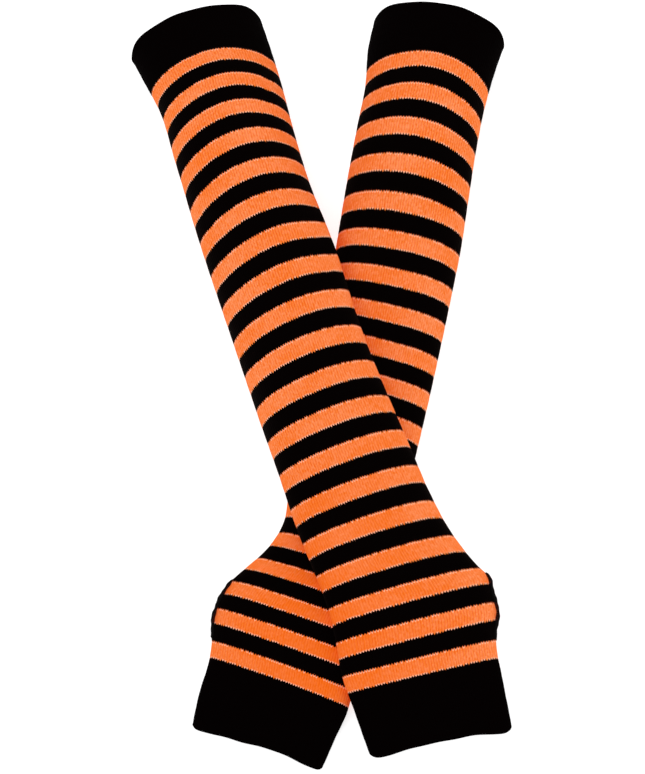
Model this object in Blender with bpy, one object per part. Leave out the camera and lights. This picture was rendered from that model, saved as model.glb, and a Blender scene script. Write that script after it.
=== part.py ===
"""Pair of long knitted arm warmers, striped orange and black, lying crossed.

Each warmer is one knitted tube, softly filled out above the wrist and flat at
the hand: a black upper cuff, a striped arm, a black hand cuff, and a thumb
slit whose edge is oversewn. The front warmer lies across the back one and
drapes over it. The part is in metres with +Z up; the tables are in
millimetres. Its origin is the middle of its footprint, on the surface that
it lies on.
"""
import math
from collections import namedtuple

import bmesh
import bpy
import numpy as np
from mathutils import Vector

MM = 0.001

# Knitted wall and seams, in millimetres
WALL = 1.5
SEAM_GAP = 0.3
WIDEST_HEIGHT = 0.46        # share of a section's height where it is widest
UNDERSIDE_SINK = 1.12       # how far the lower arc would reach past the flat underside
SIDE_ROUNDNESS = 1.3        # keeps the folded sides of a flat section round
POINTS_PER_QUARTER = 7
ARC_SAMPLES = 241           # fine points from which a quarter arc is spaced out
MITRE_LIMIT = 0.6           # least cosine used where the inner wall turns a corner
SHARP_ANGLE = math.radians(50)
CORNER_FADE = 8.0           # how far from a free rim its rounded corners reach
CORNER_SPREAD = 1.6         # sets how far in from its side a rounded corner starts

# Front warmer over the back one, in millimetres
DRAPE_CLEARANCE = 0.9       # room between the two warmers
DRAPE_SHOULDER = 0.90       # share of the lower half width that carries the upper warmer
DRAPE_SKIRT = 30.0          # how far beyond the lower warmer's side the upper one spans
DRAPE_SMOOTHING = 75.0      # half the length over which the upper side evens out
DRAPE_TILT = 0.6            # share of the support's slope that the upper side takes
SUPPORT_OFFSETS = 11        # samples of the support across a section
SUPPORT_SHIFTS = 7          # and along the warmer around it

# Stripes
STRIPES = 37                # 19 orange and 18 black, starting and ending with orange
ORANGE_TRIM = 0.3           # each orange stripe is this much narrower at both edges
CUFF_SHARES = (0, 0.1, 0.3, 0.6, 1)     # places of a cuff's sections, from its free rim

# The striped arm is knitted in one, and modelled as three stretches so that its
# collision stays hollow. Each starts with an orange stripe, after this many stripes.
Stretch = namedtuple("Stretch", "name stripes_before")
ARM_STRETCHES = (
    Stretch("striped_upper_arm", 0),
    Stretch("striped_forearm", 12),
    Stretch("striped_wrist", 26),
)

# Thumb slit, in millimetres
SLIT_HALF_OPENING = 4.8
SLIT_POWER = 4.5            # rounds the slit's ends
SLIT_EDGE_RADIUS = 0.9
SLIT_EDGE_GAP = 0.3
SLIT_CUT_DEPTH = 30.0
SLIT_POINTS = 24
SLIT_EDGE_STEPS = 1         # bevel steps in each quarter of the edging's round

ORANGE = (1.0, 0.22, 0.045, 1.0)
BLACK = (0.006, 0.006, 0.007, 1.0)
KNIT_ROUGHNESS = 0.9
THREAD_ROUGHNESS = 0.8

# along runs from the upper rim to the hand; left and right are the half widths
# seen from the hand end; height is the crest above the underside.
Station = namedtuple("Station", "along left right height")

# A course of stitches runs on by a bow at each side and lies askew, in mm and degrees.
Course = namedtuple("Course", "along left_bow right_bow skew")

# Width of a stripe, by its number from the upper cuff
StripeWidth = namedtuple("StripeWidth", "stripe width")

Warmer = namedtuple(
    "Warmer",
    "name rim_x rim_y heading upper_cuff hand_cuff upper_corner hand_corner "
    "slit_side slit_start slit_end "
    "stations courses stripe_widths",
)

FRONT = Warmer(
    name="front",
    rim_x=-92.6,
    rim_y=271.9,
    heading=18.33,
    upper_cuff=37.6,
    hand_cuff=42.2,
    upper_corner=6.0,
    hand_corner=4.0,
    slit_side=1,
    slit_start=437.0,
    slit_end=485.0,
    stations=(
        Station(0, 50.7, 47.5, 51.5),
        Station(25, 47.2, 46.8, 55),
        Station(50, 43.4, 45.3, 59),
        Station(90, 44.4, 42.2, 60),
        Station(150, 46.1, 39.4, 57),
        Station(210, 46.0, 38.6, 48),
        Station(270, 45.7, 37.8, 40),
        Station(330, 45.5, 41.4, 32),
        Station(380, 45.3, 46.6, 25),
        Station(410, 43.4, 53.0, 21),
        Station(430, 42.5, 60.6, 19),
        Station(443, 43.0, 67.1, 18.4),
        Station(452, 43.7, 66.4, 18),
        Station(465, 45.5, 65.3, 17),
        Station(480, 47.3, 57.3, 15.5),
        Station(505, 46.6, 52.2, 13),
        Station(535, 45.6, 47.2, 11.5),
    ),
    courses=(
        Course(0, 4.0, 4.0, 0.0),
        Course(45, 7.0, 11.6, 2.0),
        Course(85, 7.9, 11.6, -0.5),
        Course(125, 6.6, 8.8, -3.9),
        Course(170, 5.1, 6.6, -4.7),
        Course(210, 4.2, 5.7, -4.0),
        Course(260, 3.3, 5.0, -2.7),
        Course(310, 2.5, 4.1, -2.3),
        Course(350, 2.2, 3.4, -2.5),
        Course(385, 2.1, 3.2, -1.6),
        Course(430, 1.6, 2.6, 1.3),
        Course(460, 0.7, 1.4, 2.8),
        Course(490, 0.0, 0.4, 4.3),
        Course(535, 4.4, 4.0, 7.4),
    ),
    stripe_widths=(
        StripeWidth(1, 10.64),
        StripeWidth(4, 11.13),
        StripeWidth(7, 12.26),
        StripeWidth(9, 12.86),
        StripeWidth(12, 12.91),
        StripeWidth(16, 13.34),
        StripeWidth(19, 13.12),
        StripeWidth(22, 12.73),
        StripeWidth(26, 12.37),
        StripeWidth(30, 12.04),
        StripeWidth(34, 11.81),
        StripeWidth(37, 11.51),
    ),
)

BACK = Warmer(
    name="back",
    rim_x=84.9,
    rim_y=277.8,
    heading=-13.9,
    upper_cuff=43.4,
    hand_cuff=43.6,
    upper_corner=5.0,
    hand_corner=2.2,
    slit_side=-1,
    slit_start=434.0,
    slit_end=476.0,
    stations=(
        Station(0, 46.0, 50.0, 50),
        Station(25, 44.8, 47.8, 55),
        Station(50, 40.2, 46.8, 58),
        Station(90, 37.8, 48.0, 58),
        Station(130, 35.4, 50.8, 54),
        Station(170, 32.4, 53.8, 44),
        Station(205, 29.6, 55.0, 36),
        Station(240, 28.0, 55.9, 28),
        Station(300, 25.5, 56.6, 22),
        Station(350, 23.5, 56.2, 20),
        Station(390, 19.5, 54.8, 19),
        Station(410, 27.0, 54.2, 18.5),
        Station(420, 33.4, 54.0, 18.2),
        Station(428, 38.7, 53.8, 18),
        Station(435, 43.0, 53.6, 17.8),
        Station(442, 46.6, 53.4, 17.5),
        Station(455, 49.6, 53.0, 17),
        Station(466, 49.4, 52.8, 16.3),
        Station(478, 45.0, 52.5, 14.6),
        Station(490, 43.6, 52.2, 13),
        Station(510, 44.4, 48.4, 11),
        Station(532, 43.4, 44.8, 10),
    ),
    courses=(
        Course(0, 4.0, 6.0, -3.0),
        Course(45, 8.9, 10.8, -4.2),
        Course(85, 6.7, 8.4, -2.9),
        Course(130, 3.4, 4.2, -2.3),
        Course(170, 2.3, 1.9, -2.1),
        Course(210, 1.8, 1.0, -0.9),
        Course(250, 1.5, 0.9, 1.2),
        Course(300, 1.5, 1.1, 2.7),
        Course(400, 1.2, 0.9, 4.1),
        Course(430, 1.1, 0.7, 4.7),
        Course(460, 1.0, 0.6, 5.3),
        Course(490, 1.1, 1.1, 5.8),
        Course(532, 2.2, 3.5, 3.1),
    ),
    stripe_widths=(
        StripeWidth(1, 12.73),
        StripeWidth(4, 13.50),
        StripeWidth(8, 13.31),
        StripeWidth(13, 12.11),
        StripeWidth(18, 11.97),
        StripeWidth(22, 12.39),
        StripeWidth(27, 11.80),
        StripeWidth(31, 10.10),
        StripeWidth(34, 10.56),
        StripeWidth(37, 10.95),
    ),
)


def read_table(rows, column, at):
    """Read one column of a table at a place, on a smooth curve through its rows."""
    places = np.array([row[0] for row in rows], float)
    values = np.array([getattr(row, column) for row in rows], float)
    slopes = np.gradient(values, places)
    at = np.clip(np.asarray(at, float), places[0], places[-1])
    cell = np.clip(np.searchsorted(places, at, side="right") - 1, 0, len(places) - 2)
    span = places[cell + 1] - places[cell]
    t = (at - places[cell]) / span
    return ((2 * t**3 - 3 * t**2 + 1) * values[cell]
            + (t**3 - 2 * t**2 + t) * span * slopes[cell]
            + (3 * t**2 - 2 * t**3) * values[cell + 1]
            + (t**3 - t**2) * span * slopes[cell + 1])


def smooth_step(t):
    """Rise from 0 to 1 with level ends."""
    t = np.clip(t, 0.0, 1.0)
    return t * t * (3 - 2 * t)


def length_of(warmer):
    return warmer.stations[-1].along


def axes_of(warmer):
    """Unit vectors in plan: along the warmer towards the hand, and across to its right."""
    turn = math.radians(warmer.heading)
    return (np.array([math.sin(turn), -math.cos(turn)]),
            np.array([math.cos(turn), math.sin(turn)]))


def quarter_arc(half_width, rise):
    """Points of a quarter of a rounded section, from its side to its middle.

    The curve is |u / half_width| ** n + (z / rise) ** 2 = 1. The power n grows as
    the section gets flatter, so its folded side stays round. Points are spaced by
    arc length and by turning in equal parts.
    """
    power = max(2.0, SIDE_ROUNDNESS * half_width / rise)
    angle = np.linspace(0, math.pi / 2, ARC_SAMPLES)
    u = half_width * np.clip(np.cos(angle), 0, 1) ** (2 / power)
    z = rise * np.sin(angle)
    du, dz = np.diff(u), np.diff(z)
    arc = np.concatenate([[0], np.cumsum(np.hypot(du, dz))])
    bearing = np.unwrap(np.arctan2(dz, du))
    turning = np.abs(np.concatenate([[0], np.cumsum(np.abs(np.diff(bearing))), [0]]))
    turning[-1] = turning[-2]
    measure = arc / arc[-1] + turning / turning[-1]
    picks = np.linspace(0, measure[-1], POINTS_PER_QUARTER + 1)
    return np.interp(picks, measure, u), np.interp(picks, measure, z)


def section(warmer, along):
    """One closed section: offsets from its middle, and heights above the underside.

    It starts at the right side and runs over the crest to the left side and back
    underneath. The lower arc is cut level where the warmer rests.
    """
    left = float(read_table(warmer.stations, "left", along))
    right = float(read_table(warmer.stations, "right", along))
    height = float(read_table(warmer.stations, "height", along))
    half_width = (left + right) / 2
    middle = (right - left) / 2
    widest = WIDEST_HEIGHT * height
    top_u, top_z = quarter_arc(half_width, height - widest)
    low_u, low_z = quarter_arc(half_width, UNDERSIDE_SINK * widest)
    u = np.concatenate([top_u[:-1], -top_u[:0:-1], -low_u[:-1], low_u[:0:-1]])
    z = np.concatenate([top_z[:-1], top_z[:0:-1], -low_z[:-1], -low_z[:0:-1]])
    return middle + u, np.maximum(0.0, widest + z)


def inner_section(u, z):
    """The same section, one wall thickness further in."""
    ahead = np.column_stack([np.roll(u, -1) - u, np.roll(z, -1) - z])
    ahead /= np.linalg.norm(ahead, axis=1)[:, None]
    behind = np.roll(ahead, 1, axis=0)
    turned = ahead + behind
    turned /= np.linalg.norm(turned, axis=1)[:, None]
    reach = WALL / np.maximum(MITRE_LIMIT, np.einsum("ij,ij->i", turned, ahead))
    return u - reach * turned[:, 1], z + reach * turned[:, 0]


def rise_over_back(x, y):
    """Height of the support that the back warmer gives at a point in plan."""
    forward, across = axes_of(BACK)
    along = (x - BACK.rim_x) * forward[0] + (y - BACK.rim_y) * forward[1]
    side = (x - BACK.rim_x) * across[0] + (y - BACK.rim_y) * across[1]
    reach = np.where(side > 0,
                     read_table(BACK.stations, "right", along),
                     read_table(BACK.stations, "left", along))
    crest = read_table(BACK.stations, "height", along) + DRAPE_CLEARANCE
    shoulder = DRAPE_SHOULDER * reach
    beside = (np.abs(side) - shoulder) / (reach + DRAPE_SKIRT - shoulder)
    beyond = (along - length_of(BACK)) / DRAPE_SKIRT
    return crest * (1 - smooth_step(beside)) * (1 - smooth_step(beyond))


def support_plane(warmer, along):
    """Mean support under a section and its slope across it, evened out lengthways."""
    forward, across = axes_of(warmer)
    start = np.array([warmer.rim_x, warmer.rim_y])
    shares = np.linspace(-1, 1, SUPPORT_OFFSETS)
    levels, slopes = [], []
    for shift in np.linspace(-DRAPE_SMOOTHING, DRAPE_SMOOTHING, SUPPORT_SHIFTS):
        at = min(max(along + shift, 0.0), length_of(warmer))
        left = float(read_table(warmer.stations, "left", at))
        right = float(read_table(warmer.stations, "right", at))
        offsets = (right - left) / 2 + shares * (left + right) / 2
        plan = start + at * forward + offsets[:, None] * across
        support = rise_over_back(plan[:, 0], plan[:, 1])
        slope, level = np.polyfit(offsets, support, 1)
        levels.append(level)
        slopes.append(slope)
    return np.mean(levels), np.mean(slopes)


def rounded_corner(depth, distance, share, half_width):
    """How far the folded corners of a free rim draw in, at a distance from the rim."""
    power = CORNER_SPREAD * half_width / depth
    return depth * math.exp(-distance / CORNER_FADE) * np.abs(share) ** power


def place(warmer, along, u, z):
    """Put points of a section in the world, in millimetres."""
    forward, across = axes_of(warmer)
    left = float(read_table(warmer.stations, "left", along))
    right = float(read_table(warmer.stations, "right", along))
    height = float(read_table(warmer.stations, "height", along))
    left_bow = float(read_table(warmer.courses, "left_bow", along))
    right_bow = float(read_table(warmer.courses, "right_bow", along))
    skew = math.radians(float(read_table(warmer.courses, "skew", along)))
    half_width = (right + left) / 2
    share = (u - (right - left) / 2) / half_width
    run = (along + np.where(share > 0, right_bow, left_bow) * share**2 + u * math.tan(skew)
           + rounded_corner(warmer.upper_corner, along, share, half_width)
           - rounded_corner(warmer.hand_corner, length_of(warmer) - along, share, half_width))
    plan = (np.array([warmer.rim_x, warmer.rim_y])
            + run[:, None] * forward + u[:, None] * across)
    lift = np.zeros(len(u))
    if warmer is FRONT:
        level, slope = support_plane(warmer, along)
        stiff = smooth_step(z / height)
        close = rise_over_back(plan[:, 0], plan[:, 1])
        lift = close * (1 - stiff) + (level + DRAPE_TILT * slope * u) * stiff
    return np.column_stack([plan, z + lift])


def stripe_edges(warmer):
    """Places along the warmer where the colour changes, from cuff to cuff."""
    numbers = np.arange(1, STRIPES + 1)
    widths = read_table(warmer.stripe_widths, "width", numbers)
    start = warmer.upper_cuff
    end = length_of(warmer) - warmer.hand_cuff
    edges = np.concatenate([[0], np.cumsum(widths)])
    places = start + edges * (end - start) / edges[-1]
    places[0::2] += ORANGE_TRIM
    places[1::2] -= ORANGE_TRIM
    return places


def make_material(name, colour, roughness):
    material = bpy.data.materials.new(name)
    material.use_nodes = True
    shader = material.node_tree.nodes["Principled BSDF"]
    shader.inputs["Base Color"].default_value = colour
    shader.inputs["Roughness"].default_value = roughness
    shader.inputs["Metallic"].default_value = 0.0
    material.diffuse_color = colour
    return material


def knitted_tube(name, warmer, places, parent, collection, materials):
    """A knitted wall lofted through the sections at the given places, open at both ends.

    The bands between sections take the materials in turn.
    """
    outer, inner = [], []
    for at in places:
        u, z = section(warmer, at)
        outer.append(place(warmer, at, u, z))
        inner.append(place(warmer, at, *inner_section(u, z)))
    count = len(outer[0])
    inside = count * len(outer)
    last_band = len(outer) - 2
    last = (last_band + 1) * count
    points = np.concatenate(outer + inner) * MM
    faces, bands = [], []
    for step in range(count):
        after = (step + 1) % count
        for band in range(last_band + 1):
            near, far = band * count, (band + 1) * count
            faces.append((near + step, near + after, far + after, far + step))
            faces.append((inside + near + after, inside + near + step,
                          inside + far + step, inside + far + after))
            bands += [band, band]
        faces.append((after, step, inside + step, inside + after))
        faces.append((last + step, last + after, inside + last + after, inside + last + step))
        bands += [0, last_band]
    mesh = bpy.data.meshes.new(name)
    mesh.from_pydata([tuple(point) for point in points], [], faces)
    for material in materials:
        mesh.materials.append(material)
    for polygon, band in zip(mesh.polygons, bands):
        polygon.material_index = band % len(materials)
    mesh.shade_smooth()
    mesh.set_sharp_from_angle(angle=SHARP_ANGLE)
    tube = bpy.data.objects.new(name, mesh)
    tube.parent = parent
    collection.objects.link(tube)
    return tube


def slit_frame(warmer):
    """Middle of the thumb slit along the warmer, its half length and its height."""
    middle = (warmer.slit_start + warmer.slit_end) / 2
    half_length = (warmer.slit_end - warmer.slit_start) / 2
    height = WIDEST_HEIGHT * float(read_table(warmer.stations, "height", middle))
    return middle, half_length, height


def slit_outline(half_length, inset):
    """Outline of the slit, moved inwards: distances along it and up from its middle.

    The curve is |x / half_length| ** SLIT_POWER + (z / half_opening) ** 2 = 1.
    """
    angle = np.linspace(0, 2 * math.pi, SLIT_POINTS, endpoint=False)
    cosine, sine = np.cos(angle), np.sin(angle)
    x = half_length * np.sign(cosine) * np.abs(cosine) ** (2 / SLIT_POWER)
    z = SLIT_HALF_OPENING * sine
    out_x = np.sign(cosine) * np.abs(cosine) ** (2 - 2 / SLIT_POWER) * SLIT_POWER / half_length
    out_z = 2 * sine / SLIT_HALF_OPENING
    size = np.hypot(out_x, out_z)
    return x - inset * out_x / size, z - inset * out_z / size


def slit_side_point(warmer, along, z, inset):
    """A point of the wall beside the slit, at height z and set in from the outer face."""
    left = float(read_table(warmer.stations, "left", along))
    right = float(read_table(warmer.stations, "right", along))
    height = float(read_table(warmer.stations, "height", along))
    widest = WIDEST_HEIGHT * height
    half_width = (left + right) / 2
    rise = height - widest if z > widest else UNDERSIDE_SINK * widest
    power = max(2.0, SIDE_ROUNDNESS * half_width / rise)
    share = (1 - min(1.0, abs(z - widest) / rise) ** 2) ** (1 / power)
    u = (right - left) / 2 + warmer.slit_side * (half_width * share - inset)
    return place(warmer, along, np.array([u]), np.array([z]))[0]


def slit_cutter(warmer, parent, collection):
    """An eye-shaped bar that opens the side of the tube for the thumb."""
    middle, half_length, height = slit_frame(warmer)
    along, up = slit_outline(half_length, 0.0)
    cut = bmesh.new()
    bmesh.ops.create_cone(cut, cap_ends=True, segments=SLIT_POINTS, radius1=1.0,
                          radius2=1.0, depth=SLIT_CUT_DEPTH * MM)
    across = Vector((*axes_of(warmer)[1], 0.0))
    for vert in cut.verts:
        turn = round(math.atan2(vert.co.y, vert.co.x) / (2 * math.pi) * SLIT_POINTS)
        here = turn % SLIT_POINTS
        rim = slit_side_point(warmer, middle + along[here], height + up[here], 0.0)
        vert.co = Vector(rim) * MM + vert.co.z * across
    bmesh.ops.reverse_faces(cut, faces=cut.faces)   # laying it on its side mirrored it
    mesh = bpy.data.meshes.new(warmer.name + "_slit_cutter")
    cut.to_mesh(mesh)
    cut.free()
    cutter = bpy.data.objects.new(mesh.name, mesh)
    cutter.parent = parent
    cutter.hide_render = True
    cutter.display_type = "WIRE"
    collection.objects.link(cutter)
    return cutter


def thumb_edging(warmer, parent, collection, material):
    """The oversewn edge: a round cord all round inside the thumb slit."""
    middle, half_length, height = slit_frame(warmer)
    along, up = slit_outline(half_length, SLIT_EDGE_GAP + SLIT_EDGE_RADIUS)
    name = warmer.name + "_thumb_edging"
    curve = bpy.data.curves.new(name, "CURVE")
    curve.dimensions = "3D"
    curve.bevel_depth = SLIT_EDGE_RADIUS * MM
    curve.bevel_resolution = SLIT_EDGE_STEPS
    curve.materials.append(material)
    spline = curve.splines.new("POLY")
    spline.points.add(SLIT_POINTS - 1)
    spline.use_cyclic_u = True
    for point, run, rise in zip(spline.points, along, up):
        spot = slit_side_point(warmer, middle + run, height + rise, WALL / 2) * MM
        point.co = (spot[0], spot[1], spot[2], 1.0)
    edging = bpy.data.objects.new(name, curve)
    edging.parent = parent
    collection.objects.link(edging)
    return edging


def build_warmer(warmer, parent, collection, cutters, knit):
    """Build one warmer: two cuffs, the striped arm and the thumb slit's edging."""
    edges = stripe_edges(warmer)
    half_gap = SEAM_GAP / 2
    shares = np.array(CUFF_SHARES)
    upper = (edges[0] - half_gap) * shares
    made = [knitted_tube(warmer.name + "_upper_cuff", warmer, upper, parent, collection,
                         [knit["cuff"]])]
    ends = [stretch.stripes_before for stretch in ARM_STRETCHES[1:]] + [STRIPES]
    for stretch, end in zip(ARM_STRETCHES, ends):
        places = edges[stretch.stripes_before:end + 1].copy()
        places[0] += half_gap
        places[-1] -= half_gap
        made.append(knitted_tube(warmer.name + "_" + stretch.name, warmer, places, parent,
                                 collection, [knit["orange"], knit["black"]]))
    slit = made[-1].modifiers.new("thumb slit", "BOOLEAN")
    slit.operation = "DIFFERENCE"
    slit.solver = "EXACT"
    slit.object = slit_cutter(warmer, parent, cutters)
    rim = length_of(warmer)
    hand = rim - (rim - edges[-1] - half_gap) * shares[::-1]
    made.append(knitted_tube(warmer.name + "_hand_cuff", warmer, hand, parent, collection,
                             [knit["cuff"]]))
    made.append(thumb_edging(warmer, parent, collection, knit["thread"]))
    return made


def centre_on_footprint(empty, tubes):
    """Move everything so the middle of the footprint is the origin."""
    corners = np.array([vert.co for tube in tubes for vert in tube.data.vertices])
    middle = (corners.min(axis=0) + corners.max(axis=0)) / 2
    empty.location = (-middle[0], -middle[1], 0.0)


def main():
    for thing in list(bpy.data.objects):
        bpy.data.objects.remove(thing, do_unlink=True)
    collection = bpy.data.collections.new("arm_warmers")
    cutters = bpy.data.collections.new("cutters")
    bpy.context.scene.collection.children.link(collection)
    bpy.context.scene.collection.children.link(cutters)
    origin = bpy.data.objects.new("arm_warmers_origin", None)
    collection.objects.link(origin)
    knit = {
        "orange": make_material("orange stripe knit", ORANGE, KNIT_ROUGHNESS),
        "black": make_material("black stripe knit", BLACK, KNIT_ROUGHNESS),
        "cuff": make_material("black cuff knit", BLACK, KNIT_ROUGHNESS),
        "thread": make_material("black edging thread", BLACK, THREAD_ROUGHNESS),
    }
    made = []
    for warmer in (BACK, FRONT):
        made += build_warmer(warmer, origin, collection, cutters, knit)
    centre_on_footprint(origin, [piece for piece in made if piece.type == "MESH"])


main()
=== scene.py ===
import math

import bpy
import numpy as np
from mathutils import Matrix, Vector


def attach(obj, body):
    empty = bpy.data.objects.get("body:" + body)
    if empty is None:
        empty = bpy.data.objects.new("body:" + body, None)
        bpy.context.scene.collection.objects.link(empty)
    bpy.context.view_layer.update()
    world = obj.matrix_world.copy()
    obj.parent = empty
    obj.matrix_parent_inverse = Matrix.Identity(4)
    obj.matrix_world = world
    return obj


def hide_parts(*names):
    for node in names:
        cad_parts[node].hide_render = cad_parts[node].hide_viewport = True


# Pair of long knitted arm warmers, striped orange and black, lying crossed.
# Each is one softly filled-out tube: black upper cuff, striped arm, black hand
# cuff, and a thumb slit whose lips are oversewn. Sizes are millimetres in the
# tables and metres in the meshes. The shapes follow the part's own sections.

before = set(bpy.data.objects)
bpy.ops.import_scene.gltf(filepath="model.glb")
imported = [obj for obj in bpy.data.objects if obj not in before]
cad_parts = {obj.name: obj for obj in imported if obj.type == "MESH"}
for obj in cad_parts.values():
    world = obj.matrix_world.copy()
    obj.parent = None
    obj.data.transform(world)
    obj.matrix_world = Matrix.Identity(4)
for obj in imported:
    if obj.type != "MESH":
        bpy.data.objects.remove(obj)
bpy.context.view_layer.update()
print("frame loaded:", len(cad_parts), "nodes")

mm = 0.001

# The frame's origin is the middle of the footprint, so the finished outline is
# centred on it.
toFrame = np.array([3.080, -14.135, 0.0])

knit = {
    "wall": 1.5,                 # one layer of plain knit
    "wales": 122,                # stitches all round
    "columns": 216,              # mesh columns all round
    "coursesPerStripe": 9,       # rows of stitches in a stripe
    "rowStep": 1.5,              # mesh rows of the outer face
    "innerEvery": 4,             # the inner face keeps one row in so many
    "stripes": 37,               # starting and ending with orange
    "stripePuff": 0.14,          # each stripe swells a little between its edges
    "puffPower": 0.7,            # under 1 makes the swelling fuller than a sine
    "seamInset": 1.5,            # the arm piece runs this far into each cuff's colour
    "widestHeight": 0.46,        # share of a section's height where it is widest
    "undersideSink": 1.12,       # depth of the uncut lower arc, over the widest height
    "sideRoundness": 1.3,        # keeps the folded sides of a flat section round
    "leastPower": 2.0,           # an ellipse, where the section is round
    "rimRound": 0.86,            # how nearly a free rim's faces meet
    "rimRows": (0.05, 0.18, 0.38, 0.75),     # more rows, this far from a free rim
    "rimWave": 0.36,             # the rims aren't quite even
    "rimWaves": ((3, 1.0), (5, 0.6), (9, 0.4)),     # waves all round, and their shares
    "rimWaveFade": 9.0,          # how far in from a rim they reach
    "restFade": 2.0,             # relief fades out towards the underside
    "arcSamples": 240,           # fine points of a quarter section
    "cornerFade": 8.0,           # how far from a free rim its rounded corners reach
    "cornerSpread": 1.6,         # sets how far in from its side a rounded corner starts
    "orangeTrim": 0.3,           # each orange stripe is narrower by this at both edges
}

drape = {
    "clearance": 1.1,            # room between the two warmers
    "shoulder": 0.90,            # share of the lower half width that carries the upper one
    "skirt": 30.0,               # reach beyond the lower one's side
    "smoothing": 75.0,           # half the length over which the upper side evens out
    "tilt": 0.6,                 # share of the support's slope that the upper side takes
    "offsets": 11,               # places across a section where the support is read
    "shifts": 7,                 # sections that are averaged
}

slit = {
    "halfOpening": 4.8,          # half the gap between the lips
    "power": 4.5,                # rounds the slit's ends
    "spread": 0.07,              # share of the round over which the lips' shift fades
    "pinch": 2.4,                # the cloth draws in behind its stiffer oversewn lips
    "pinchStart": 1.5,           # over this distance from the lip
    "pinchFade": 8.0,            # and fades out again over this one
}

# rim: middle of the upper rim in plan; heading: turn of the hand end to the right
# corners: how far the folded corners draw in at the upper and at the hand rim
# slitSide: 1 for a slit in the right side, -1 in the left; slitSpan: its ends
# restsOn: the piece that this warmer lies on
# stations: along, left and right half widths, crest height
# courses: along, bow at the left and right side, skew in degrees
# stripeWidths: stripe number, width, all scaled to fit between the cuffs
# creases: along, share of the round from the slit side, half length, half width,
# lean in degrees, height (below zero, as each is a trough)
frontWarmer = {
    "name": "front",
    "rim": (-92.6, 271.9),
    "heading": 18.33,
    "upperCuff": 37.6,
    "handCuff": 42.2,
    "corners": (6.0, 4.0),
    "slitSide": 1,
    "slitSpan": (437.0, 480.5),
    "restsOn": ["backStripedArm"],
    "stations": (
        (0, 50.7, 47.5, 51.5), (25, 47.2, 46.8, 55), (50, 43.4, 45.3, 59),
        (90, 44.4, 42.2, 60), (150, 46.1, 39.4, 57), (210, 46.0, 38.6, 48),
        (270, 45.7, 37.8, 40), (330, 45.5, 41.4, 32), (380, 45.3, 46.6, 25),
        (410, 43.4, 53.0, 21), (430, 42.5, 60.6, 19), (443, 43.0, 67.1, 18.4),
        (452, 43.7, 66.4, 18), (465, 45.5, 65.3, 17), (480, 47.3, 57.3, 15.5),
        (505, 46.6, 52.2, 13), (535, 45.6, 47.2, 11.5),
    ),
    "courses": (
        (0, 4.0, 4.0, 0.0), (45, 7.0, 11.6, 2.0), (85, 7.9, 11.6, -0.5),
        (125, 6.6, 8.8, -3.9), (170, 5.1, 6.6, -4.7), (210, 4.2, 5.7, -4.0),
        (260, 3.3, 5.0, -2.7), (310, 2.5, 4.1, -2.3), (350, 2.2, 3.4, -2.5),
        (385, 2.1, 3.2, -1.6), (430, 1.6, 2.6, 1.3), (460, 0.7, 1.4, 2.8),
        (490, 0.0, 0.4, 4.3), (535, 4.4, 4.0, 7.4),
    ),
    "stripeWidths": (
        (1, 10.64), (4, 11.13), (7, 12.26), (9, 12.86), (12, 12.91), (16, 13.34),
        (19, 13.12), (22, 12.73), (26, 12.37), (30, 12.04), (34, 11.81), (37, 11.51),
    ),
    "creases": (
        (62, 0.10, 26, 4.0, 20, -0.5), (150, 0.42, 34, 5.0, -25, -0.6),
        (214, 0.08, 24, 4.5, 35, -0.7), (262, 0.40, 30, 5.0, -30, -0.5),
        (392, 0.12, 24, 4.0, 50, -0.6), (424, 0.20, 20, 4.0, 62, -0.5),
        (415, 0.33, 22, 4.5, 15, -0.4), (120, 0.70, 30, 5.0, 20, -0.6),
        (300, 0.62, 26, 4.5, -30, -0.5), (30, 0.30, 14, 4.0, 5, -0.4),
    ),
}

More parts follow.
